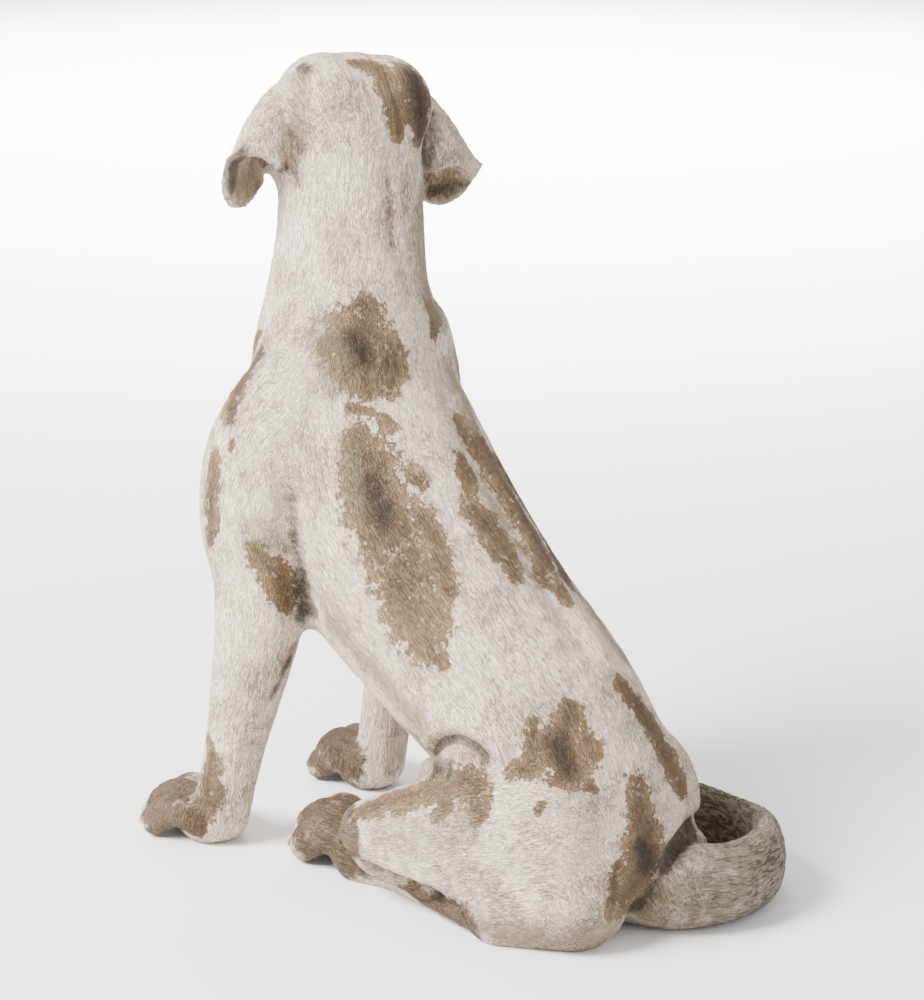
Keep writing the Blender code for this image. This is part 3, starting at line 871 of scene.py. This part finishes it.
# %% Worn places
WORN_SEEN = [
    [(362, 306, 1.5), (362, 320, 2.8), (360, 340, 3.6), (366, 362, 3.2), (366, 385, 2.0)],
    [(345, 335, 2.3), (326, 344, 1.3)],
    [(346, 358, 1.8), (352, 376, 1.5)],
    [(388, 348, 2.0), (394, 370, 1.6), (388, 388, 1.4)],
    [(350, 408, 0.6), (372, 412, 0.5)],
    [(384, 420, 0.9), (394, 428, 0.7)],
    [(362, 436, 1.6), (366, 455, 3.0), (370, 480, 3.6), (374, 505, 3.8), (386, 530, 3.9), (398, 555, 4.0),
     (406, 580, 4.1), (413, 605, 3.9), (420, 625, 3.4), (428, 640, 2.4)],
    [(430, 652, 1.4), (442, 662, 1.1)],
    [(414, 476, 1.1), (424, 484, 0.8)],
    [(424, 520, 1.5), (438, 548, 1.3), (446, 590, 1.3)],
    [(463, 425, 1.3), (475, 441, 1.6), (490, 463, 1.6), (505, 486, 1.8), (520, 511, 1.8), (535, 536, 1.9),
     (545, 560, 1.6), (546, 580, 1.1)],
    [(482, 442, 1.4), (503, 470, 1.9), (527, 508, 2.1), (549, 545, 2.1), (566, 578, 1.7)],
    [(462, 460, 1.2), (468, 478, 1.5), (468, 490, 1.0)],
    [(470, 508, 1.3), (485, 522, 1.8), (498, 542, 1.8), (510, 562, 1.5), (516, 577, 0.9)],
    [(493, 550, 1.0), (496, 556, 0.8)],
    [(560, 588, 1.0), (567, 600, 0.9)],
    [(258, 336, 0.9), (250, 356, 1.4), (241, 380, 1.9), (233, 400, 1.9), (230, 416, 1.2)],
    [(214, 456, 0.9), (212, 480, 1.6), (210, 505, 1.4), (212, 525, 1.5), (209, 540, 0.9)],
    [(232, 443, 0.5), (230, 450, 0.5)],
    [(255, 548, 1.1), (262, 560, 1.6), (275, 576, 2.1), (282, 592, 1.9), (284, 605, 1.3)],
    [(208, 742, 0.8), (212, 760, 1.2), (208, 780, 1.5), (206, 800, 1.7), (200, 818, 1.5), (194, 832, 1.0)],
    [(218, 788, 1.0), (214, 806, 1.0)],
    [(354, 62, 1.0), (372, 66, 1.5), (386, 76, 1.9), (390, 93, 1.6), (396, 109, 1.6), (399, 126, 1.2),
     (399, 138, 0.7)],
    [(408, 72, 2.0), (418, 92, 2.2), (420, 112, 2.0), (420, 132, 1.7)],
    [(430, 308, 1.0), (434, 320, 1.2), (434, 336, 0.9)],
    [(572, 706, 1.2), (570, 725, 1.8), (560, 746, 2.9), (572, 765, 2.5), (560, 777, 1.5)],
    [(588, 742, 1.6), (592, 752, 1.2)],
    [(534, 722, 0.7), (532, 764, 1.5), (514, 770, 1.1)],
    [(541, 806, 0.6), (538, 812, 0.5)],
    [(590, 786, 0.8), (596, 790, 0.5)],
    [(638, 784, 1.5), (640, 805, 1.8), (643, 830, 2.2), (646, 852, 2.6), (641, 872, 2.8), (631, 890, 2.6),
     (622, 905, 1.5)],
    [(613, 912, 1.1), (618, 866, 0.9)],
    [(622, 686, 1.4), (636, 704, 1.8), (651, 724, 2.0), (662, 746, 1.9), (671, 766, 1.6), (681, 788, 1.3)],
    [(690, 826, 1.0), (692, 840, 0.8)],
    [(360, 812, 1.3), (385, 801, 1.7), (412, 796, 1.8), (440, 787, 1.9), (464, 780, 1.9), (478, 796, 1.6),
     (480, 814, 1.2)],
    [(445, 806, 1.3), (436, 814, 0.9)],
]
WORN_HIDDEN = [
    [(-8.5, 5.0, 46.0, 2.4), (-10.4, 1.0, 38.0, 3.0), (-10.6, -4.0, 31.0, 2.2)],
    [(-14.0, -6.0, 9.0, 2.0), (-12.6, -12.0, 13.4, 2.4)],
    [(1.2, 24.0, 44.0, 2.6), (0.6, 22.4, 38.0, 2.0)],
    [(-12.6, 16.0, 42.0, 2.0), (-12.8, 15.6, 35.0, 1.6)],
    [(-4.0, 22.0, 74.4, 1.4), (-4.8, 26.0, 71.6, 1.2)],
]
worn_spots = seen(WORN_SEEN) + hidden(WORN_HIDDEN)
print("worn patches hold", len(worn_spots), "spots")

# %% Soot and painted shade, painted shade and grime, moss, earth and shag
# Soot and painted shade. Shade is painted into the hollows and onto the far side: the armpit, the inner
# elbow and the foreleg's far edge, the ear's opening, the fold of the flank, the far side of the head, and
# beside the seat on the hidden right side. The spots in the worn patches of the flank, hip and rump are
# soot.
SOOT_AND_SHADE_SEEN = [
    [(412, 78, 1.8), (420, 100, 2.2), (424, 130, 2.2), (424, 160, 1.6)],
    [(301, 66, 0.9), (311, 73, 0.6)],
    [(430, 96, 0.8), (432, 122, 1.0), (429, 150, 1.3), (426, 178, 1.3)],
    [(430, 191, 1.1), (446, 191, 1.3), (464, 184, 1.1)],
    [(288, 166, 0.5), (281, 172, 0.6)],
    [(240, 152, 0.8), (234, 168, 1.3), (232, 188, 1.4)],
    [(292, 536, 0.6), (299, 562, 0.6), (303, 590, 1.2), (303, 618, 1.2)],
    [(296, 645, 0.9), (284, 672, 0.8), (272, 697, 0.7)],
    [(370, 480, 1.1), (380, 505, 1.8), (384, 524, 1.2)],
    [(556, 745, 1.6), (566, 768, 1.6)],
    [(642, 845, 1.2), (650, 868, 1.6)],
    [(436, 770, 0.9), (432, 776, 0.8)],
    [(352, 338, 1.2), (364, 358, 1.2)],
]
SOOT_AND_SHADE_HIDDEN = [[(-8.4, -19.0, 3.0, 4.0), (-12.0, -20.0, 2.4, 4.0)]]
# Painted shade, with some grime: the far side of the head, neck and back, which turns from the lamp, the
# belly, the seat, the strip under the thigh, the hollows of the left ear and the fold of the flank.
SHADE_AND_GRIME_SEEN = [
    [(422, 205, 1.8), (428, 240, 2.2), (436, 275, 2.4), (446, 305, 2.2)],
    [(456, 350, 2.2), (464, 390, 2.2), (472, 420, 1.8)],
    [(535, 500, 1.2), (556, 545, 1.4), (580, 590, 1.5), (612, 640, 1.7), (655, 690, 1.9)],
    [(330, 622, 1.4), (360, 655, 1.8), (392, 694, 2.0), (420, 728, 2.0)],
    [(505, 932, 2.2), (560, 944, 2.6), (622, 928, 2.4), (660, 905, 1.8)],
    [(345, 864, 1.7), (395, 884, 1.7), (440, 905, 1.7), (482, 926, 1.5)],
    [(300, 76, 1.4), (298, 108, 1.7), (293, 148, 1.7), (290, 168, 1.2)],
    [(238, 158, 1.6), (234, 184, 1.8), (252, 180, 1.5)],
    [(236, 160, 1.7), (232, 184, 2.0), (250, 184, 1.6)],
    [(236, 166, 1.6), (236, 186, 1.6)],
    [(452, 178, 1.2), (440, 185, 1.2)],
    [(428, 752, 1.6), (440, 764, 1.6)],
]
MOSSY_SEEN = [
    [(252, 530, 1.8), (268, 542, 1.7)],
    [(376, 832, 2.0), (420, 836, 2.6), (462, 826, 2.0)],
    [(318, 330, 2.2), (330, 372, 2.4)],
    [(420, 770, 1.8), (446, 782, 1.4)],
    [(345, 462, 1.6), (352, 505, 1.6)],
]
EARTHY_SEEN = [
    [(150, 815, 1.8), (168, 790, 2.0), (186, 784, 1.8)],
    [(176, 818, 2.0), (196, 828, 1.4)],
    [(312, 752, 2.2), (330, 734, 2.2), (346, 760, 2.4)],
    [(303, 802, 2.0), (322, 816, 2.6), (348, 842, 2.4)],
    [(325, 858, 2.0), (352, 800, 1.4)],
]
EARTHY_HIDDEN = [
    [(15.8, 23.6, 3.6, 4.4), (17.6, 22.6, 2.4, 3.2)],
    [(-7.0, 23.0, 3.0, 5.0), (-7.4, 20.6, 2.0, 3.4)],
    [(9.4, 6.4, 3.0, 5.2), (10.6, 2.0, 4.2, 4.4)],
    [(-8.6, 6.2, 3.0, 5.0), (-9.0, 2.0, 3.6, 4.0)],
    [(13.4, -9.0, 1.6, 2.2), (13.0, -16.0, 1.6, 2.2)],
]
SHAG_RADIUS = 5.4
SHAG_RISE = 2.5
CREASE_PASSES = 12
CREASE_DEPTH = 0.1 * CM
VALLEY_PASSES = 90
VALLEY_DEPTH = 0.5 * CM
shaggy_spots = hidden([[(*key[:3], SHAG_RADIUS) for key in TAIL[1:]]])
sooty_spots = seen(SOOT_AND_SHADE_SEEN) + hidden(SOOT_AND_SHADE_HIDDEN)
earthy_spots = seen(EARTHY_SEEN) + hidden(EARTHY_HIDDEN)
veiled_spots = seen(SHADE_AND_GRIME_SEEN)
mossy_spots = seen(MOSSY_SEEN)
print("soot holds", len(sooty_spots), "spots and earth", len(earthy_spots))


def closeness(points, spots):
    """1 in the middle of the nearest spot, 0 at its edge and down to -1 beyond it."""
    best = np.full(len(points), -1.0)
    for *spot, radius in spots:
        away = np.linalg.norm(points - np.array(spot), axis=1)
        best = np.maximum(best, 1 - away / radius)
    return best


def hollows(places, normals, edges, passes):
    """How far each point lies below its neighbourhood, in metres."""
    return ((smoothed(places, edges, passes) - places) * normals).sum(axis=1)


places, normals, edges = arrays(dog.data)
marked = {
    "worn": worn_spots,
    "soot": sooty_spots,
    "earth": earthy_spots,
    "veil": veiled_spots,
    "moss": mossy_spots,
}
for name, spots in marked.items():
    store(dog, name, closeness(places, spots))
store(dog, "shag", np.clip(SHAG_RISE * closeness(places, shaggy_spots), 0, 1))
creases = hollows(places, normals, edges, CREASE_PASSES)
store(dog, "crease", creases / CREASE_DEPTH)
store(dog, "valley", hollows(places, normals, edges, VALLEY_PASSES) / VALLEY_DEPTH)
print("the deepest crease lies", round(float(creases.max()) * 1000, 2), "mm down")

# %% Cut the fur, the flat underside and the count of faces
TRIANGLES = 194000
stone = bpy.data.materials.new("limewashed_cast_stone")
stone.use_nodes = True


def carve_fur(obj, **given):
    """Cuts fur into a skin by the tree, with its inputs set by their sockets' identifiers."""
    tree = fur_tree()
    fur = obj.modifiers.new("Fur", "NODES")
    fur.node_group = tree
    for item in tree.interface.items_tree:
        if item.in_out == "INPUT" and item.name in given:
            fur[item.identifier] = given[item.name]
    return baked(obj)


def flat_below(obj, level):
    """Cuts the skin off flat at a level and closes the cut."""
    skin = bmesh.new()
    skin.from_mesh(obj.data)
    whole = skin.verts[:] + skin.edges[:] + skin.faces[:]
    plane = {"plane_co": (0, 0, level), "plane_no": (0, 0, -1)}
    cut = bmesh.ops.bisect_plane(skin, geom=whole, clear_outer=True, **plane)
    rim = [item for item in cut["geom_cut"] if isinstance(item, bmesh.types.BMEdge)]
    bmesh.ops.holes_fill(skin, edges=rim, sides=0)
    bmesh.ops.recalc_face_normals(skin, faces=skin.faces)
    skin.to_mesh(obj.data)
    skin.free()


def thinned(obj, triangles):
    """Keeps the form with fewer faces."""
    obj.data.calc_loop_triangles()
    decimate = obj.modifiers.new("Thin", "DECIMATE")
    decimate.ratio = min(1.0, triangles / len(obj.data.loop_triangles))
    return baked(obj)


strokes = {"Stroke Width": 0.0042, "Stroke Length": 0.026, "Depth": 0.0007, "Seed": 7.0}
carve_fur(dog, **strokes, Material=stone)
thinned(dog, TRIANGLES)
flat_below(dog, 0.0)
places, _, _ = arrays(dog.data)
print("beyond the frame's box by", np.round(np.maximum(np.array(box_low) - places.min(axis=0), 0) * 1000, 2),
      np.round(np.maximum(places.max(axis=0) - np.array(box_high), 0) * 1000, 2), "mm")
move_to(dog, np.clip(places, box_low, box_high))
dog.data.shade_smooth()
dog.data.calc_loop_triangles()
print("the statue has", len(dog.data.loop_triangles), "triangles")

# %% [markdown]
# ## The finish: limewash over tan stone
#
# Three coats lie over each other. The cast stone is tan, mottled and darker in the middle of each worn
# patch. The limewash is a warm white that broke away along a ragged edge. Dirt and painted shade fill the
# fur strokes and the creases, soot and painted shade darken the hollows, painted shade with some grime
# darkens the far side and the undersides, the feet are earthy and the tail is mossy. Each is a mask
# between 0 and 1, built from noise and the numbers kept on the skin.

# %% Paint colours


def paint(red, green, blue):
    """A colour as a painter's chart gives it, from 0 to 255, as the shader's linear values."""
    linear = []
    for part in (red, green, blue):
        part = part / 255
        linear.append(part / 12.92 if part < 0.04045 else ((part + 0.055) / 1.055) ** 2.4)
    return (*linear, 1.0)


LIME = paint(234, 216, 194)
LIME_THIN = paint(190, 168, 144)
LIME_PINK = paint(182, 150, 122)
TAN = paint(122, 98, 72)
TAN_PALE = paint(144, 117, 87)
TAN_DEEP = paint(88, 72, 54)
# A dark grey-brown, for dirt and for the painted shade of the cuts and creases.
DIRT_AND_SHADE_COLOUR = paint(66, 57, 47)
# A near-black brown, for soot and for painted shade.
SOOT_AND_SHADE_COLOUR = paint(42, 34, 28)
EARTH = paint(88, 68, 47)
# A grey-brown, for painted shade with some grime.
SHADE_AND_GRIME_COLOUR = paint(138, 122, 98)
MOSS = paint(118, 114, 86)
TAIL_MOSS = paint(108, 103, 82)


print("the limewash reflects", [round(part, 2) for part in LIME[:3]])

# %% The finish's nodes


def fur_noise(net, width, length, detail, warp, shift=0.0):
    """Noise that lies along the fur, on the body and on the limbs."""
    found = []
    for name in ("flow_body", "flow_limb"):
        flow = net.node("ShaderNodeAttribute", {"attribute_name": name}, {}, 1)
        moved = net.node("ShaderNodeVectorMath", {"operation": "ADD"}, {0: flow, 1: (shift, shift, shift)})
        found.append(net.noise(net.stretched(moved, (width, width, length)), 1.0, detail, 0.55, warp))
    share = net.node("ShaderNodeAttribute", {"attribute_name": "limb_share"}, {}, 2)
    return net.blend(share, *found)


def dress(material):
    """Builds the limewashed stone."""
    net = Net(material.node_tree)
    shader = material.node_tree.nodes["Principled BSDF"]
    place = net.node("ShaderNodeTexCoord", {}, {}, 3)
    worn, soot, earth, veil, moss, shag, crease, valley = (
        net.node("ShaderNodeAttribute", {"attribute_name": name}, {}, 2)
        for name in ("worn", "soot", "earth", "veil", "moss", "shag", "crease", "valley")
    )
    height = net.node("ShaderNodeSeparateXYZ", {}, {0: place}, 2)

    # Noise in four sizes, from patches as wide as a hand to grains of a millimetre.
    clouds = net.noise(place, 16.0, 4.0, 0.6)
    blotches = net.noise(place, 62.0, 6.0, 0.68)
    flakes = net.noise(place, 210.0, 6.0, 0.72)
    grain = net.noise(place, 900.0, 3.0, 0.6)

    # The fur's strokes, fine and broad, and where they crowd.
    hairs = fur_noise(net, 0.0017, 0.011, 1.0, 0.5)
    locks = fur_noise(net, 0.0030, 0.016, 2.0, 0.7, 1.7)
    tufts = fur_noise(net, 0.0075, 0.035, 2.0, 0.8, 3.1)
    fine_cut = net.step(abs(hairs - 0.5), 0.07, 0.0)
    broad_cut = net.step(locks, 0.47, 0.36)
    cluster = net.step(clouds + (blotches - 0.5) * 0.8, 0.40, 0.62)
    strokes = net.math("MAXIMUM", fine_cut * (0.40 + 0.5 * cluster), broad_cut * (0.08 + 0.62 * cluster))

    # Where the limewash is gone, where it is thin, and the dark heart of each worn patch.
    edge = worn + (flakes - 0.5) * 1.5 + (blotches - 0.5) * 2.3
    bare = net.step(edge, 0.08, 0.14)
    thin = net.step(edge + (clouds - 0.5) * 1.5, -0.75, 0.1)
    heart = net.step(worn + (clouds - 0.5) * 2.0 + (blotches - 0.5), 0.25, 0.95)
    crumbs = net.step(flakes + (blotches - 0.5) * 0.8, 0.62, 0.66)

    # The limewash, and the stone that shows through it.
    lime = net.tint(net.step(clouds + (flakes - 0.5) * 0.6, 0.42, 0.68) * 0.75, LIME, LIME_THIN)
    lime = net.tint(net.step(blotches + (grain - 0.5) * 0.5, 0.52, 0.70) * 0.45, lime, LIME_PINK)
    lime = net.tint(thin * 0.35, lime, LIME_PINK)
    # The fur's cuts darkened: dirt, and painted shade in the cuts.
    lime = net.tint(strokes * 0.62, lime, DIRT_AND_SHADE_COLOUR)
    bare_tint = net.tint(net.step(blotches, 0.40, 0.66), TAN, TAN_PALE)
    bare_tint = net.tint(heart * 0.75, bare_tint, TAN_DEEP)
    # The fur's cuts on the bare stone: dirt, and painted shade in the cuts.
    bare_tint = net.tint(strokes * 0.5, bare_tint, SOOT_AND_SHADE_COLOUR)
    bare_tint = net.tint(crumbs * 0.55, bare_tint, LIME_THIN)
    surface = net.tint(bare, lime, bare_tint)

    # What lies on both: painted shade with some grime, moss, earth, dirt and painted shade in the
    # creases, and soot with painted shade in the hollows.
    # Painted shade, with some grime, on the far side and the undersides.
    veiled = net.step(veil + (blotches - 0.5) * 1.2 + (flakes - 0.5) * 1.2, -0.45, 0.75)
    surface = net.tint(veiled * 0.78, surface, SHADE_AND_GRIME_COLOUR)
    low = net.step(height, 0.16, 0.0)
    mossy = net.step(moss + (blotches - 0.5) * 1.6 + (flakes - 0.5), -0.5, 0.9) * 0.5
    green = net.step(valley * 0.6 + low * 0.5 + (clouds - 0.5) * 1.6, 0.25, 1.0) * 0.5
    surface = net.tint(net.math("MAXIMUM", green, mossy), surface, MOSS)
    weathered = net.step(shag + (blotches - 0.5) * 1.1 + (locks - 0.5) * 1.4 + (clouds - 0.5), 0.15, 0.95)
    surface = net.tint(weathered * 0.88, surface, TAIL_MOSS)
    surface = net.tint(net.step(locks, 0.54, 0.42) * shag * 0.8, surface, DIRT_AND_SHADE_COLOUR)
    earthy = net.step(earth + (blotches - 0.5) * 1.3, -0.10, 0.30) * (0.84 + 0.2 * clouds)
    surface = net.tint(earthy, surface, EARTH)
    # The fur's cuts on the feet: dirt, and painted shade in the cuts.
    surface = net.tint(strokes * earthy * 0.6, surface, SOOT_AND_SHADE_COLOUR)
    # Darker in the creases and valleys: dirt, and painted shade in the hollows.
    crease_dirt_and_shade = net.step(crease * 0.8 + valley * 0.7 + (blotches - 0.5) * 1.2, 0.25, 1.3)
    surface = net.tint(crease_dirt_and_shade * 0.7, surface, DIRT_AND_SHADE_COLOUR)
    # Soot, and painted shade in the hollows.
    sooty = net.step(soot + (blotches - 0.5) * 1.6 + (flakes - 0.5) * 0.8, -0.25, 0.9)
    surface = net.tint(sooty * 0.8, surface, SOOT_AND_SHADE_COLOUR)
    surface = net.tint(net.step(grain, 0.55, 0.70) * 0.22, surface, DIRT_AND_SHADE_COLOUR)

    # The finest relief, which the mesh is too coarse for.
    relief = (1 - fine_cut) * 0.45 + (1 - broad_cut) * 0.5 + tufts * 0.7 + (1 - bare) * 0.22
    relief = relief + grain * 0.2 + flakes * 0.45
    bump = net.node("ShaderNodeBump", {}, {"Strength": 1.0, "Distance": 0.0028, "Height": relief})
    material.node_tree.links.new(surface.socket, shader.inputs["Base Color"])
    material.node_tree.links.new((0.80 + 0.12 * blotches).socket, shader.inputs["Roughness"])
    material.node_tree.links.new(bump.socket, shader.inputs["Normal"])
    shader.inputs["Metallic"].default_value = 0.0
    shader.inputs["Specular IOR Level"].default_value = 0.3


dress(stone)
print("the finish has", len(stone.node_tree.nodes), "nodes")

# %% [markdown]
# ## The statue takes its place
#
# The fine skin stands for the frame's solid, rides on its one body and takes its slot, so whoever uses
# the part can swap the finish and still pose and weigh the plain solid.

# %% Slot, body and the node it stands for
if not dog.data.materials:
    dog.data.materials.append(stone)
dog.name = "dog_statue"
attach(dog, "root")
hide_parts("dog")
print("materials on the statue:", [slot.name for slot in dog.data.materials])

# %% [markdown]
# ## Floor, light and camera
#
# A pale floor and a bright sky give the even white ground of a catalogue picture. One large soft lamp
# stands high to the camera's left, so the back and shoulder are bright and the far side falls off. The
# camera stands behind the dog to its left, at the height of a person's waist.

# %% Floor, lamps and camera


def look(obj, eye, target):
    """Puts a lamp or camera at a place and turns it to a target."""
    obj.location = eye
    obj.rotation_mode = "QUATERNION"
    obj.rotation_quaternion = (Vector(target) - Vector(eye)).to_track_quat("-Z", "Y")
    bpy.context.scene.collection.objects.link(obj)


def lamp(name, eye, target, size, power, spread=180.0):
    """A soft square lamp, whose light leaves it within a cone of spread degrees."""
    data = bpy.data.lights.new(name, "AREA")
    data.size = size
    data.energy = power
    data.spread = math.radians(spread)
    look(bpy.data.objects.new(name, data), eye, target)


def pale_floor():
    """A wide, matt, nearly white floor."""
    shape = bmesh.new()
    bmesh.ops.create_circle(shape, cap_ends=True, segments=96, radius=30)
    floor = to_object(shape, "floor")
    material = bpy.data.materials.new("floor_paint")
    material.use_nodes = True
    shader = material.node_tree.nodes["Principled BSDF"]
    shader.inputs["Base Color"].default_value = (0.92, 0.92, 0.92, 1)
    shader.inputs["Roughness"].default_value = 0.9
    floor.data.materials.append(material)
    return floor


pale_floor()
MIDDLE = (0.0, 0.0, 0.35)
lamp("key", (2.6, -0.9, 2.7), MIDDLE, 1.6, 490)
lamp("fill", (0.6, 3.4, 1.8), MIDDLE, 2.2, 12)
lamp("backdrop", (-4.4, -4.6, 4.0), (-4.4, -4.601, 0.0), 6.0, 1900, 86)
world = bpy.data.worlds.new("studio")
world.use_nodes = True
world.node_tree.nodes["Background"].inputs["Color"].default_value = (1, 1, 1, 1)
world.node_tree.nodes["Background"].inputs["Strength"].default_value = 1.15
bpy.context.scene.world = world

camera_data = bpy.data.cameras.new("camera")
camera_data.sensor_width = SENSOR
camera_data.lens = LENS
camera_data.dof.use_dof = False
camera = bpy.data.objects.new("camera", camera_data)
look(camera, EYE, TARGET)
bpy.context.scene.camera = camera
print("the camera stands", round((TARGET - EYE).length, 2), "m away")
